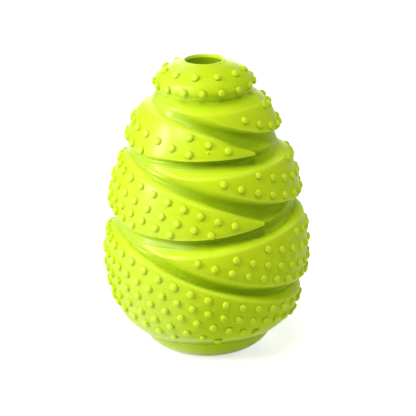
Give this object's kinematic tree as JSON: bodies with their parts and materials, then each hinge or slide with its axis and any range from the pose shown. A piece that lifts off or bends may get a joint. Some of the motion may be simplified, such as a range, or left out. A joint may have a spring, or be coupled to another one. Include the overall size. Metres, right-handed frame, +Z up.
{
  "type": "rubber chew toy",
  "caption": "Hollow egg-shaped rubber treat toy with bands that wind round it, smooth channels between them, rows of round nubs and a hole through its crown.",
  "frame": {"origin": "centre of the flat rest face under the foot", "axes": "+Z up along the toy's axis, -Y the pictured front, +X to the right in the picture"},
  "size_m": [0.0804, 0.0802, 0.115],
  "materials": {
    "rubber": "satin lime green"
  },
  "bodies": {
    "root": {"core_shell": "rubber", "base_foot": "rubber", "crown_cap": "rubber", "hole_lip": "rubber", "neck_band": "rubber", "upper_left_band": "rubber", "middle_right_band": "rubber", "middle_left_band": "rubber", "lower_right_band": "rubber", "lower_left_band": "rubber", "crown_nubs": "rubber", "neck_nubs": "rubber", "upper_left_nubs": "rubber", "middle_right_nubs": "rubber", "middle_left_nubs": "rubber", "lower_right_nubs": "rubber", "lower_left_nubs": "rubber"}
  },
  "joints": []
}
